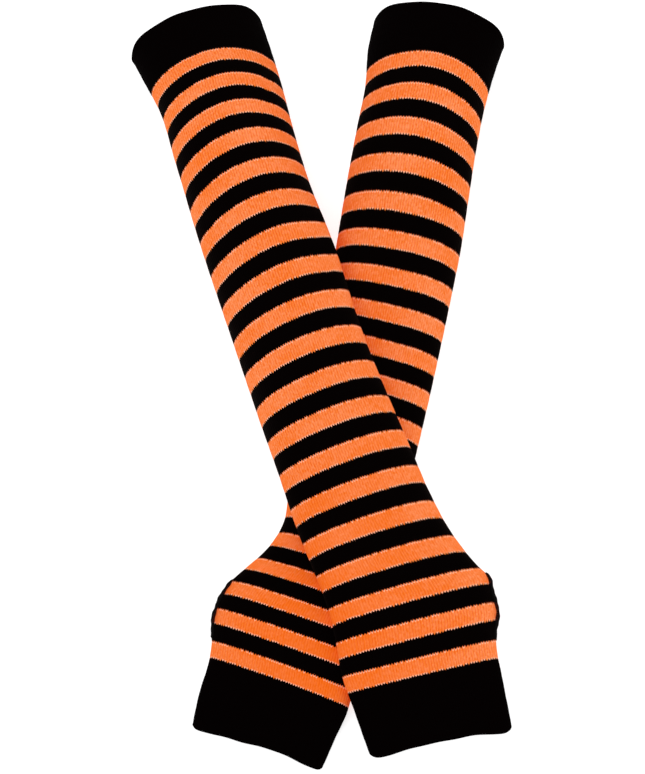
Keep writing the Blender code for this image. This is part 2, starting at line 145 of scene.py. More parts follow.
backWarmer = {
    "name": "back",
    "rim": (84.9, 277.8),
    "heading": -13.9,
    "upperCuff": 43.4,
    "handCuff": 43.6,
    "corners": (5.0, 2.2),
    "slitSide": -1,
    "slitSpan": (434.0, 476.0),
    "restsOn": [],
    "stations": (
        (0, 46.0, 50.0, 50), (25, 44.8, 47.8, 55), (50, 40.2, 46.8, 58),
        (90, 37.8, 48.0, 58), (130, 35.4, 50.8, 54), (170, 32.4, 53.8, 44),
        (205, 29.6, 55.0, 36), (240, 28.0, 55.9, 28), (300, 25.5, 56.6, 22),
        (350, 23.5, 56.2, 20), (390, 19.5, 54.8, 19), (410, 27.0, 54.2, 18.5),
        (420, 33.4, 54.0, 18.2), (428, 38.7, 53.8, 18), (435, 43.0, 53.6, 17.8),
        (442, 46.6, 53.4, 17.5), (455, 49.6, 53.0, 17), (466, 49.4, 52.8, 16.3),
        (478, 45.0, 52.5, 14.6), (490, 43.6, 52.2, 13), (510, 44.4, 48.4, 11),
        (532, 43.4, 44.8, 10),
    ),
    "courses": (
        (0, 4.0, 6.0, -3.0), (45, 8.9, 10.8, -4.2), (85, 6.7, 8.4, -2.9),
        (130, 3.4, 4.2, -2.3), (170, 2.3, 1.9, -2.1), (210, 1.8, 1.0, -0.9),
        (250, 1.5, 0.9, 1.2), (300, 1.5, 1.1, 2.7), (400, 1.2, 0.9, 4.1),
        (430, 1.1, 0.7, 4.7), (460, 1.0, 0.6, 5.3), (490, 1.1, 1.1, 5.8),
        (532, 2.2, 3.5, 3.1),
    ),
    "stripeWidths": (
        (1, 12.73), (4, 13.50), (8, 13.31), (13, 12.11), (18, 11.97), (22, 12.39),
        (27, 11.80), (31, 10.10), (34, 10.56), (37, 10.95),
    ),
    "creases": (
        (58, 0.16, 24, 4.0, -15, -0.5), (108, 0.40, 30, 5.0, 25, -0.6),
        (170, 0.30, 34, 5.0, -30, -0.6), (418, 0.10, 18, 3.5, -55, -0.6),
        (436, 0.24, 22, 4.0, -40, -0.5), (90, 0.72, 28, 5.0, 20, -0.5),
        (210, 0.62, 26, 4.5, -25, -0.5), (28, 0.34, 14, 4.0, 0, -0.4),
    ),
}


# A smooth curve through the rows of a table: cubic pieces whose slopes are the
# rows' own mean slopes, read at any array of places.
def readTable(rows, column, at):
    table = np.array(rows, float)
    places, values = table[:, 0], table[:, column]
    slopes = np.gradient(values, places)
    at = np.clip(np.asarray(at, float), places[0], places[-1])
    cell = np.clip(np.searchsorted(places, at, side="right") - 1, 0, len(places) - 2)
    span = places[cell + 1] - places[cell]
    t = (at - places[cell]) / span
    return ((2 * t**3 - 3 * t**2 + 1) * values[cell]
            + (t**3 - 2 * t**2 + t) * span * slopes[cell]
            + (3 * t**2 - 2 * t**3) * values[cell + 1]
            + (t**3 - t**2) * span * slopes[cell + 1])


# From 0 to 1 with level ends: 3 t squared less 2 t cubed.
def smoothStep(t):
    t = np.clip(t, 0.0, 1.0)
    return t * t * (3 - 2 * t)


# The last station's place, as the rim's own place is 0.
def lengthOf(warmer):
    return warmer["stations"][-1][0]


# Directions in plan: along the warmer towards the hand, and across to the right.
def axesOf(warmer):
    turn = math.radians(warmer["heading"])
    forward = np.array([math.sin(turn), -math.cos(turn)])
    across = np.array([math.cos(turn), math.sin(turn)])
    return forward, across


# Half widths to the left and right and the crest height, at an array of places.
def sizesAt(warmer, along):
    return [readTable(warmer["stations"], column, along) for column in (1, 2, 3)]


# Rings of a rounded section, one row of points for each place along the warmer:
# |offset / half width| to the power n, plus (height / rise) squared, is 1. The
# power grows as the section gets flatter, so its folded sides stay round. The
# lower arc is cut level where the warmer rests. Each ring starts at the thumb
# slit's side, runs over the crest and comes back underneath, and its points are
# read off at the given shares of its length.
def sectionRings(warmer, along, around):
    left, right, height = [size[:, None] for size in sizesAt(warmer, along)]
    halfWidth, middle = (left + right) / 2, (right - left) / 2
    widest = knit["widestHeight"] * height
    angle = np.linspace(0, math.pi / 2, knit["arcSamples"])[None, :]
    quarters = []
    for rise in (height - widest, knit["undersideSink"] * widest):
        power = np.maximum(knit["leastPower"], knit["sideRoundness"] * halfWidth / rise)
        quarters.append((halfWidth * np.clip(np.cos(angle), 0, 1) ** (2 / power),
                         rise * np.sin(angle)))
    (topU, topZ), (lowU, lowZ) = quarters
    u = np.concatenate([topU, -topU[:, -2::-1], -lowU[:, 1:], lowU[:, -2::-1]], axis=1)
    z = np.concatenate([topZ, topZ[:, -2::-1], -lowZ[:, 1:], -lowZ[:, -2::-1]], axis=1)
    z = np.maximum(0.0, widest + z)
    steps = np.hypot(np.diff(u, axis=1), np.diff(z, axis=1))
    arc = np.concatenate([np.zeros((len(along), 1)), np.cumsum(steps, axis=1)], axis=1)
    total = arc[:, -1:]
    wanted = around * total
    ringU = np.array([np.interp(w, a, row) for w, a, row in zip(wanted, arc, u)])
    ringZ = np.array([np.interp(w, a, row) for w, a, row in zip(wanted, arc, z)])
    return middle + warmer["slitSide"] * ringU, ringZ, total


# Height of the support that the back warmer gives at points in plan: its crest,
# fading level to nothing beyond its sides and its hand end.
def riseOverBack(x, y):
    forward, across = axesOf(backWarmer)
    rimX, rimY = backWarmer["rim"]
    along = (x - rimX) * forward[0] + (y - rimY) * forward[1]
    side = (x - rimX) * across[0] + (y - rimY) * across[1]
    left, right, height = sizesAt(backWarmer, along)
    reach = np.where(side > 0, right, left)
    shoulder = drape["shoulder"] * reach
    beside = (np.abs(side) - shoulder) / (reach + drape["skirt"] - shoulder)
    beyond = (along - lengthOf(backWarmer)) / drape["skirt"]
    return (height + drape["clearance"]) * (1 - smoothStep(beside)) * (1 - smoothStep(beyond))


# Mean support under each section of the front warmer and its slope across it:
# straight lines fitted to the support, averaged over a stretch of the warmer.
def supportPlane(warmer, along):
    forward, across = axesOf(warmer)
    start = np.array(warmer["rim"])
    shares = np.linspace(-1, 1, drape["offsets"])[None, :]
    level, slope = np.zeros(len(along)), np.zeros(len(along))
    for shift in np.linspace(-drape["smoothing"], drape["smoothing"], drape["shifts"]):
        at = np.clip(along + shift, 0.0, lengthOf(warmer))
        left, right = [size[:, None] for size in sizesAt(warmer, at)[:2]]
        offsets = (right - left) / 2 + shares * (left + right) / 2
        support = riseOverBack(start[0] + at[:, None] * forward[0] + offsets * across[0],
                               start[1] + at[:, None] * forward[1] + offsets * across[1])
        meanOffset = offsets.mean(axis=1, keepdims=True)
        meanSupport = support.mean(axis=1, keepdims=True)
        tilt = (((offsets - meanOffset) * (support - meanSupport)).sum(axis=1)
                / ((offsets - meanOffset) ** 2).sum(axis=1))
        slope += tilt / drape["shifts"]
        level += (meanSupport[:, 0] - tilt * meanOffset[:, 0]) / drape["shifts"]
    return level, slope


# How far the folded corners of a free rim draw in: depth times an exponential of
# the distance from the rim, times a high power of the share of the half width.
def roundedCorner(depth, distance, share, halfWidth):
    power = knit["cornerSpread"] * halfWidth / depth
    return depth * np.exp(-distance / knit["cornerFade"])[:, None] * np.abs(share) ** power


# Sections laid in the world: each point runs on along the warmer by the bow of
# its course, times its share of the half width squared, and by the skew, and is
# set out across. The front warmer's low points follow the back one closely and
# its high points follow the evened-out support.
def layOut(warmer, along, u, z, runOut):
    forward, across = axesOf(warmer)
    left, right, height = [size[:, None] for size in sizesAt(warmer, along)]
    leftBow = readTable(warmer["courses"], 1, along)[:, None]
    rightBow = readTable(warmer["courses"], 2, along)[:, None]
    skew = np.radians(readTable(warmer["courses"], 3, along))[:, None]
    upperCorner, handCorner = warmer["corners"]
    halfWidth = (right + left) / 2
    share = (u - (right - left) / 2) / halfWidth
    run = (along[:, None] + np.where(share > 0, rightBow, leftBow) * share**2
           + u * np.tan(skew) + runOut
           + roundedCorner(upperCorner, along, share, halfWidth)
           - roundedCorner(handCorner, lengthOf(warmer) - along, share, halfWidth))
    x = warmer["rim"][0] + run * forward[0] + u * across[0]
    y = warmer["rim"][1] + run * forward[1] + u * across[1]
    lift = 0.0
    if warmer is frontWarmer:
        level, slope = supportPlane(warmer, along)
        stiff = smoothStep(z / height)
        lift = (riseOverBack(x, y) * (1 - stiff)
                + (level[:, None] + drape["tilt"] * slope[:, None] * u) * stiff)
    return np.stack([x, y, z + lift], axis=-1)


# Places along the warmer where the colour changes, from cuff to cuff.
def stripeEdges(warmer):
    numbers = np.arange(1, knit["stripes"] + 1)
    widths = readTable(warmer["stripeWidths"], 1, numbers)
    start = warmer["upperCuff"]
    end = lengthOf(warmer) - warmer["handCuff"]
    edges = np.concatenate([[0], np.cumsum(widths)])
    edges = start + edges * (end - start) / edges[-1]
    edges[0::2] += knit["orangeTrim"]
    edges[1::2] -= knit["orangeTrim"]
    return edges


# Half the gap between the slit's lips along the warmer, an eye with round ends:
# half opening times the root of 1 less |distance / half length| to a power.
def lipGap(warmer, along):
    start, end = warmer["slitSpan"]
    share = np.abs(along - (start + end) / 2) / ((end - start) / 2)
    return slit["halfOpening"] * np.sqrt(np.clip(1 - share ** slit["power"], 0, 1))


# Shares of the round moved away from the slit, most at the lips.
def partLips(warmer, along, around, total):
    gap = lipGap(warmer, along)[:, None] / total
    upper = np.clip(1 - around / slit["spread"], 0, 1) ** 2
    lower = np.clip(1 - (1 - around) / slit["spread"], 0, 1) ** 2
    return around + gap * (upper - lower)


# How far the cloth draws in behind a parted lip, at a distance from it: nothing
# at the lip itself, most a few stitches on, and fading out exponentially.
def lipPinch(warmer, along, distance):
    parted = lipGap(warmer, along)[:, None] / slit["halfOpening"]
    return (slit["pinch"] * parted * (1 - np.exp(-distance / slit["pinchStart"]))
            * np.exp(-distance / slit["pinchFade"]))


# Soft troughs: height times a bell over a leaning ellipse, plus the swell of each
# stripe, a power of the sine between its edges.
def relief(warmer, along, around, total, stripe):
    out = knit["stripePuff"] * np.abs(np.sin(math.pi * stripe)) ** knit["puffPower"]
    for place, turn, halfLength, halfWidth, lean, height in warmer["creases"]:
        lengthways = along[:, None] - place
        sideways = (around - turn) * total
        cosine, sine = math.cos(math.radians(lean)), math.sin(math.radians(lean))
        a = (lengthways * cosine + sideways * sine) / halfLength
        b = (sideways * cosine - lengthways * sine) / halfWidth
        out = out + height * np.exp(-a**2 - b**2)
    return out


# Unit normals of a grid from its own differences. A closed row wraps round from
# its last column to its first; a row that the slit opens ends at its lips.
def gridNormals(points, opened):
    down = np.gradient(points, axis=0)
    aside = np.gradient(points, axis=1)
    wrapped = (points[:, 1] - points[:, -2]) / 2
    aside[~opened, 0] = wrapped[~opened]
    aside[~opened, -1] = wrapped[~opened]
    normals = np.cross(aside, down)
    return normals / np.linalg.norm(normals, axis=-1, keepdims=True)


# How far a free rim's faces draw together: a round over half the wall's depth.
def rimInset(distance):
    half = knit["wall"] / 2
    share = np.clip(1 - distance / half, 0, 1)
    return half * knit["rimRound"] * (1 - np.sqrt(1 - share**2))


# Stripe coordinate of each row: 0 at the upper cuff, one more at each change of
# colour, and running on evenly into both cuffs.
def stripeCoordinate(warmer, along):
    edges = stripeEdges(warmer)
    stripe = np.interp(along, edges, np.arange(len(edges)))
    stripe += np.minimum(0, along - edges[0]) / (edges[1] - edges[0])
    stripe += np.maximum(0, along - edges[-1]) / (edges[-1] - edges[-2])
    return stripe


# Outer and inner faces of a stretch of knit, as grids of points in millimetres:
# the laid-out rings moved along their normals by the relief, less the lips' pinch,
# and for the inner face by the wall too. A free rim is uneven by a sum of sines.
def knitGrids(warmer, along, opened, rims):
    around = np.linspace(0, 1, knit["columns"] + 1)[None, :] * np.ones((len(along), 1))
    total = sectionRings(warmer, along, np.zeros((len(along), 1)))[2]
    parted = np.where(opened[:, None], partLips(warmer, along, around, total), around)
    u, z, total = sectionRings(warmer, along, parted)
    runOut = np.zeros_like(u)
    for place in rims:
        turn = 2 * math.pi * around
        wave = sum(share * np.sin(waves * turn + phase)
                   for (waves, share), phase in zip(knit["rimWaves"], (place, 2, 0)))
        fade = np.exp(-np.abs(along - place) / knit["rimWaveFade"])[:, None]
        runOut = runOut + knit["rimWave"] * wave * fade
    points = layOut(warmer, along, u, z, runOut)
    normals = gridNormals(points, opened) * warmer["slitSide"]
    stripe = stripeCoordinate(warmer, along)
    out = relief(warmer, along, around, total, stripe[:, None])
    out -= lipPinch(warmer, along, around * total) + lipPinch(warmer, along, (1 - around) * total)
    out = out * np.clip(z / knit["restFade"], 0, 1)      # the underside rests flat
    inset = sum([rimInset(np.abs(along - place)) for place in rims], np.zeros(len(along)))
    outer = points + normals * (out - inset[:, None])[..., None]
    inner = points + normals * (out + inset[:, None] - knit["wall"])[..., None]
    return outer, inner, stripe


# A closed shell of knit between two faces: quads over both faces, strips round
# both ends, and along the slit a strip down each lip. Elsewhere the first and
# last columns share their vertices. The UV map counts stitches round and rows
# along, and the stripe attribute counts stripes.
def shellMesh(name, outer, inner, stripe, opened, kept, flip):
    rows, columns = outer.shape[:2]
    ids = np.arange(rows * columns).reshape(rows, columns)
    innerIds = rows * columns + np.arange(len(kept) * columns).reshape(len(kept), columns)
    points = np.concatenate([outer.reshape(-1, 3), inner[kept].reshape(-1, 3)]) * mm
    wale = np.linspace(0, knit["wales"], columns)[None, :] * np.ones((rows, 1))
    course = (stripe * knit["coursesPerStripe"])[:, None] * np.ones((1, columns))
    wale = np.concatenate([wale.ravel(), wale[kept].ravel()])
    course = np.concatenate([course.ravel(), course[kept].ravel()])
    stripes = np.repeat(np.concatenate([stripe, stripe[kept]]), columns)

    def strip(first, second):
        return np.stack([first[:-1], first[1:], second[1:], second[:-1]], axis=-1).reshape(-1, 4)

    faces = [strip(ids[row], ids[row + 1]) for row in range(rows - 1)]
    faces += [strip(innerIds[row], innerIds[row + 1])[:, ::-1] for row in range(len(kept) - 1)]
    faces += [strip(ids[0], innerIds[0])[:, ::-1], strip(ids[-1], innerIds[-1])]
    inSlit = np.flatnonzero(opened)
    if len(inSlit):
        lipRows = np.arange(inSlit[0] - 1, inSlit[-1] + 2)
        lipKept = np.searchsorted(kept, lipRows)
        faces += [strip(ids[lipRows, 0], innerIds[lipKept, 0]),
                  strip(ids[lipRows, -1], innerIds[lipKept, -1])[:, ::-1]]
    faces = np.concatenate(faces)
    if flip:
        faces = faces[:, ::-1]
    weld = np.arange(len(points))
    weld[ids[~opened, -1]] = ids[~opened, 0]
    weld[innerIds[~opened[kept], -1]] = innerIds[~opened[kept], 0]
    used, corners = np.unique(weld[faces], return_inverse=True)
    mesh = bpy.data.meshes.new(name)
    mesh.vertices.add(len(used))
    mesh.vertices.foreach_set("co", points[used].ravel())
    mesh.loops.add(faces.size)
    mesh.loops.foreach_set("vertex_index", corners.ravel().astype(np.int32))
    mesh.polygons.add(len(faces))
    mesh.polygons.foreach_set("loop_start", np.arange(0, faces.size, 4, dtype=np.int32))
    mesh.update(calc_edges=True)
    uv = mesh.uv_layers.new(name="knit")
    uv.data.foreach_set("uv", np.stack([wale[faces], course[faces]], axis=-1).ravel())
    count = mesh.attributes.new("stripe", "FLOAT", "POINT")
    count.data.foreach_set("value", stripes[used])
    mesh.shade_smooth()
    return mesh


# Rows of a stretch: even steps, closer together where a free rim is rounded.
def rowPlaces(start, end, rims):
    count = int(round((end - start) / knit["rowStep"]))
    places = np.linspace(start, end, count + 1)
    for rim in rims:
        inward = 1 if rim == start else -1
        places = np.append(places, rim + inward * np.array(knit["rimRows"]))
    return np.unique(places)


# A mesh becomes a piece of the part: the nodes that it replaces and its slot.
def addPiece(mesh, material, nodes):
    mesh.materials.append(material)
    piece = bpy.data.objects.new(mesh.name, mesh)
    bpy.context.scene.collection.objects.link(piece)
    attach(piece, "root")
    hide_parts(*nodes)
    return piece


# One stretch of a warmer. The striped arm is the one with the thumb slit.
def knitPiece(warmer, part, start, end, rims, material, nodes):
    along = rowPlaces(start, end, rims)
    opened = np.zeros(len(along), bool)
    if part == "StripedArm":
        first, last = warmer["slitSpan"]
        along = np.unique(np.append(along, [first, last]))
        opened = (along > first) & (along < last)
    outer, inner, stripe = knitGrids(warmer, along, opened, rims)
    near = np.convolve(opened, np.ones(3), "same") > 0      # the lips keep every row
    kept = np.flatnonzero((np.arange(len(along)) % knit["innerEvery"] == 0) | near
                          | np.isin(along, [start, end]))
    mesh = shellMesh(warmer["name"] + part, outer + toFrame, inner + toFrame, stripe,
                     opened, kept, warmer["slitSide"] < 0)
    piece = addPiece(mesh, material, [warmer["name"] + "_" + node for node in nodes])
    print("knitted", piece.name, len(mesh.polygons), "quads")
    return piece, along, outer, inner, opened


# Oversewn lip: one thread wound round the cut edge, all round the slit.
overlock = {
    "stitch": 0.74,              # from one stitch to the next
    "threadRadius": 0.39,
    "reachOver": 1.18,           # half the loop's size through the cloth
    "reachOut": 0.64,            # half its size across the edge
    "intoCloth": 0.16,           # how far the loop's middle lies inside the edge
    "outOfCloth": 0.45,          # and towards the outer face: the lips roll outwards
    "endShare": 0.45,            # the bundle is this slim at the slit's ends
    "uneven": 0.19,              # the bundle swells and thins along the slit,
    "unevenWaves": ((7, 1.0, 0), (17, 0.7, 1)),     # by waves, their shares and phases
    "samplesPerStitch": 10,
    "threadSides": 6,
    "directionReach": 3,         # samples either way that give the edge's direction
    "colour": (0.0022, 0.0014, 0.0014, 1),
    "roughness": 0.8,
    "specular": 0.1,
}


# Distance along a closed polyline to each of its points and back to the first.
def loopArc(points):
    steps = np.linalg.norm(np.diff(points, axis=0, append=points[:1]), axis=1)
    return np.concatenate([[0], np.cumsum(steps)])


# A closed polyline, and what its points carry, read at even shares of its length.
def evenLoop(points, carried, count):
    arc = loopArc(points)
    columns = np.hstack([points, carried])
    columns = np.concatenate([columns, columns[:1]])
    wanted = np.linspace(0, arc[-1], count, endpoint=False)
    return np.stack([np.interp(wanted, arc, column) for column in columns.T], axis=-1)


# Vectors over their own lengths.
def unit(vectors):
    return vectors / np.linalg.norm(vectors, axis=1, keepdims=True)


# A tube of round section along a closed path, its rings set square to the path
# by the direction away from the loop's middle.
def threadTube(path, hub, radius, sides):
    ahead = unit(np.roll(path, -1, axis=0) - np.roll(path, 1, axis=0))
    out = path - hub
    out = unit(out - (out * ahead).sum(axis=1, keepdims=True) * ahead)
    side = np.cross(ahead, out)
    turn = np.linspace(0, 2 * math.pi, sides, endpoint=False)[None, :, None]
    rings = path[:, None] + radius * (np.cos(turn) * out[:, None] + np.sin(turn) * side[:, None])
    ids = np.arange(len(path) * sides).reshape(len(path), sides)
    nextIds = np.roll(ids, -1, axis=0)
    faces = np.stack([ids, nextIds, np.roll(nextIds, -1, axis=1), np.roll(ids, -1, axis=1)],
                     axis=-1).reshape(-1, 4)
    return rings.reshape(-1, 3), faces[:, ::-1]


# Down one lip of the slit and back up the other.
def roundSlit(first, last):
    return np.concatenate([first, last[::-1]])


# The thread's middle line: the slit's edge moved into the cloth and out of its
# face, plus an ellipse square to the edge, one turn for each stitch.
def thumbEdging(warmer, along, outer, inner, opened, material):
    rows = np.flatnonzero(opened)
    depth, middle = outer - inner, (outer + inner) / 2
    through = unit(roundSlit(depth[rows, 0], depth[rows, -1]))
    lips = roundSlit(middle[rows, 0], middle[rows, -1])
    sheet = roundSlit(outer[rows, 2] - outer[rows, 0], outer[rows, -3] - outer[rows, -1])
    parting = lipGap(warmer, along[rows]) / slit["halfOpening"]
    parting = roundSlit(parting, parting)[:, None]
    stitches = int(round(loopArc(lips)[-1] / overlock["stitch"]))
    count = stitches * overlock["samplesPerStitch"]
    loop = evenLoop(lips, np.hstack([through, sheet, parting]), count)
    edge, through, sheet, parting = np.split(loop, [3, 6, 9], axis=1)
    reach = overlock["directionReach"]
    ahead = unit(np.roll(edge, -reach, axis=0) - np.roll(edge, reach, axis=0))
    intoCloth = unit(np.cross(through, ahead))
    intoCloth *= np.sign((intoCloth * sheet).sum(axis=1, keepdims=True))
    phase = np.linspace(0, 2 * math.pi * stitches, count, endpoint=False)[:, None]
    turn = np.linspace(0, 2 * math.pi, count, endpoint=False)[:, None]
    full = overlock["endShare"] + (1 - overlock["endShare"]) * smoothStep(parting)
    uneven = sum(share * np.sin(waves * turn + shift)
                 for waves, share, shift in overlock["unevenWaves"])
    swell = full * (1 + overlock["uneven"] * uneven)
    hub = edge + overlock["intoCloth"] * intoCloth + overlock["outOfCloth"] * full * through
    path = (hub + overlock["reachOver"] * swell * np.cos(phase) * through
            - overlock["reachOut"] * swell * np.sin(phase) * intoCloth)
    points, faces = threadTube(path, hub, overlock["threadRadius"], overlock["threadSides"])
    mesh = bpy.data.meshes.new(warmer["name"] + "ThumbEdging")
    mesh.from_pydata(((points + toFrame) * mm).tolist(), [], faces.tolist())
    mesh.shade_smooth()
    piece = addPiece(mesh, material, [warmer["name"] + "_thumb_edging"])
    print("oversewn", piece.name, stitches, "stitches")


yarn = {
    "orange": (0.635, 0.233, 0.036, 1),
    "orangeGapShade": (0.54, 0.082, 0.004, 1),   # painted shade between the wales
    "orangePale": (0.73, 0.41, 0.21, 1),     # paler yarn, and painted highlight on stitch legs
    "orangePaintedShade": (0.58, 0.124, 0.0005, 1),        # painted shade, where less light falls
    "tick": (0.84, 0.60, 0.42, 1),           # stitch ends beside a colour change
    "black": (0.0011, 0.0004, 0.0004, 1),
    "roughness": 0.92,
    "sheenRoughness": 0.45,
    "looks": {                   # specular, sheen and its tint
        "striped knit": (0.005, 0.010, (1.0, 0.72, 0.58, 1)),
        "black knit": (0.004, 0.002, (1, 1, 1, 1)),
    },
    "paintedGlow": 0.33,                # painted glow: the orange stripes give off red light, so their shade stays red
    "paintedGlowColour": (1.0, 0.02, 0.0, 1),
    "bumpDepth": 0.35,           # in millimetres
    "bumpStrength": 0.8,
    "legRelief": 0.2,            # share of a stitch's relief that its two legs make
    "rowRelief": 0.4,            # depth of the row lines
    "rowSlant": 1.5,             # how far they dip towards a stitch's middle, in rows
    "tooth": 0.112,              # zigzag of a colour change, in stripes
    "toothUneven": 0.040,        # and how much a stitch's own draw shifts it
    "tickWidth": 0.075,          # beside a colour change, in stripes
    "tickSpan": 0.32,            # either way from a stitch's middle
    "tickShare": 0.7,            # how many stitches show one
    "tickStrength": 0.65,
    "melange": 1.5,              # paler streaks of the yarn
    "melangeFrom": 0.62,
    "melangeScale": (2.6, 0.45, 1.0),
    "melangeDetail": 3.0,
    "speckle": 1.12,             # painted highlight on legs of stitches that catch the light
    "speckleFrom": 0.62,
    "patches": 0.7,              # paler and deeper patches
    "patchScale": 0.055,
    "patchDetail": 2.0,
}

# Painted shade: the orange is deeper where the two warmers face each other and beside
# the upper rims. Places are in metres, from the frame's origin.
shade = {
    "strength": 0.72,
    "inwardReach": 0.115,        # out from the pair's middle line
    "handwardFrom": -0.03,       # it sets in here and grows along to the hands
    "handwardRun": 0.15,
    "least": 0.08,               # the share that the upper arms keep
    "rim": 0.30,                 # the share beside the upper rims
    "rimFrom": 0.205,
    "rimRun": 0.05,
}


# A term is a number, a colour or the socket of another node.
def feed(tree, socket, term):
    if isinstance(term, (int, float, tuple)):
        socket.default_value = term
    else:
        tree.links.new(term, socket)


# Every step of a formula below is one Math node.
def calculate(tree, operation, *terms):
    node = tree.nodes.new("ShaderNodeMath")
    node.operation = operation
    for socket, term in zip(node.inputs, terms):
        feed(tree, socket, term)
    return node.outputs[0]


# Value times scale, plus offset.
def scaled(tree, value, scale, offset):
    return calculate(tree, "MULTIPLY_ADD", value, scale, offset)


# The value, but no lower than low and no higher than high.
def clamped(tree, value, low, high):
    return calculate(tree, "MINIMUM", calculate(tree, "MAXIMUM", value, low), high)


# A row of equal humps: the size of the sine of value times pace.
def humps(tree, value, pace):
    wave = calculate(tree, "SINE", calculate(tree, "MULTIPLY", value, pace))
    return calculate(tree, "ABSOLUTE", wave)


# The first colour, replaced by the second in the given share.
def mixColours(tree, share, first, second):
    node = tree.nodes.new("ShaderNodeMix")
    node.data_type = "RGBA"
    for number, term in ((0, share), (6, first), (7, second)):
        feed(tree, node.inputs[number], term)
    return node.outputs[2]


# The three coordinates of a vector.
def separate(tree, vector):
    node = tree.nodes.new("ShaderNodeSeparateXYZ")
    tree.links.new(vector, node.inputs[0])
    return node.outputs


# One number from 0 to 1 for each pair of whole numbers.
def draw(tree, x, y):
    pair = tree.nodes.new("ShaderNodeCombineXYZ")
    tree.links.new(x, pair.inputs[0])
    tree.links.new(y, pair.inputs[1])
    noise = tree.nodes.new("ShaderNodeTexWhiteNoise")
    noise.noise_dimensions = "2D"
    tree.links.new(pair.outputs[0], noise.inputs["Vector"])
    return noise.outputs["Value"]


# Smooth noise from 0 to 1.
def cloud(tree, vector, scale, detail):
    noise = tree.nodes.new("ShaderNodeTexNoise")
    noise.inputs["Scale"].default_value = scale
    noise.inputs["Detail"].default_value = detail
    tree.links.new(vector, noise.inputs["Vector"])
    return noise.outputs["Fac"]


# Height of plain knit from stitch and row counts: two legs to a stitch, each a
# hump, parted lengthways by the row lines, which dip towards the stitch's middle.
def stitchHeight(tree, wale, course):
    share = calculate(tree, "FRACT", wale)
    fromMiddle = calculate(tree, "ABSOLUTE", calculate(tree, "SUBTRACT", share, 0.5))
    legs = humps(tree, wale, 2 * math.pi)
    stitch = humps(tree, wale, math.pi)
    rowLine = humps(tree, scaled(tree, fromMiddle, yarn["rowSlant"], course), math.pi)
    across = calculate(tree, "ADD", calculate(tree, "MULTIPLY", legs, yarn["legRelief"]),
                       calculate(tree, "MULTIPLY", stitch, 1 - yarn["legRelief"]))
    lengthways = scaled(tree, rowLine, yarn["rowRelief"], 1 - yarn["rowRelief"])
    return calculate(tree, "MULTIPLY", across, lengthways), fromMiddle


# Which stitches are orange, and which show a pale end beside a colour change. The
# stripe count is shifted by a zigzag in each stitch and by a draw for the stitch,
# and halved: its fraction is under a half on the orange stripes.
def stripeShares(tree, wale, fromMiddle):
    count = tree.nodes.new("ShaderNodeAttribute")
    count.attribute_name = "stripe"
    stripe = count.outputs["Fac"]
    luck = draw(tree, calculate(tree, "FLOOR", wale), calculate(tree, "ROUND", stripe))
    tooth = scaled(tree, fromMiddle, 2 * yarn["tooth"], -yarn["tooth"] / 2)
    uneven = scaled(tree, luck, yarn["toothUneven"], -yarn["toothUneven"] / 2)
    edgePlace = calculate(tree, "ADD", calculate(tree, "ADD", stripe, tooth), uneven)
    halved = calculate(tree, "FRACT", calculate(tree, "MULTIPLY", edgePlace, 0.5))
    isOrange = calculate(tree, "LESS_THAN", halved, 0.5)
    inStripe = calculate(tree, "MULTIPLY", halved, 2.0)
    fromEdge = calculate(tree, "MINIMUM", inStripe, calculate(tree, "SUBTRACT", 1.0, inStripe))
    atEdge = calculate(tree, "LESS_THAN", fromEdge, yarn["tickWidth"])
    lucky = calculate(tree, "GREATER_THAN", luck, 1 - yarn["tickShare"])
    onLegs = calculate(tree, "LESS_THAN", fromMiddle, yarn["tickSpan"])
    tick = calculate(tree, "MULTIPLY", calculate(tree, "MULTIPLY", atEdge, lucky),
                     calculate(tree, "MULTIPLY", onLegs, yarn["tickStrength"]))
    return isOrange, tick


# How pale the fluff is, from 0 to 1: the larger of the streaks and a draw for each
# leg of a stitch, a painted highlight, plus the broad patches.
def fluffAndHighlightShare(tree, uv, wale, course):
    leg = calculate(tree, "FLOOR", calculate(tree, "MULTIPLY", wale, 2.0))
    luck = draw(tree, leg, calculate(tree, "FLOOR", course))
    speckle = scaled(tree, luck, yarn["speckle"], -yarn["speckle"] * yarn["speckleFrom"])
    stretch = tree.nodes.new("ShaderNodeMapping")
    stretch.inputs["Scale"].default_value = yarn["melangeScale"]
    tree.links.new(uv, stretch.inputs["Vector"])
    melange = cloud(tree, stretch.outputs[0], 1.0, yarn["melangeDetail"])
    melange = scaled(tree, melange, yarn["melange"], -yarn["melangeFrom"])
    patches = cloud(tree, uv, yarn["patchScale"], yarn["patchDetail"])
    patches = scaled(tree, patches, yarn["patches"], -yarn["patches"] / 2)
    fluffAndHighlight = calculate(tree, "ADD", calculate(tree, "MAXIMUM", melange, speckle), patches)
    return clamped(tree, fluffAndHighlight, 0.0, 1.0)


# How much painted shade a place gets: the larger of 1 less its distance from the middle
# line over the reach, times a ramp towards the hands, and of a ramp towards the upper rims.
def paintedShadeShare(tree):
    where = tree.nodes.new("ShaderNodeTexCoord")
    x, y, _ = separate(tree, where.outputs["Object"])
    inward = scaled(tree, calculate(tree, "ABSOLUTE", x), -1 / shade["inwardReach"], 1.0)
    handward = scaled(tree, y, -1 / shade["handwardRun"],
                      shade["handwardFrom"] / shade["handwardRun"])
    handward = clamped(tree, handward, shade["least"], 1.0)
    inwardShade = calculate(tree, "MULTIPLY", calculate(tree, "MAXIMUM", inward, 0.0), handward)
    rimward = scaled(tree, y, shade["rim"] / shade["rimRun"],
                     -shade["rim"] * shade["rimFrom"] / shade["rimRun"])
    rimward = clamped(tree, rimward, 0.0, shade["rim"])
    return calculate(tree, "MULTIPLY", calculate(tree, "MAXIMUM", inwardShade, rimward),
                     shade["strength"])


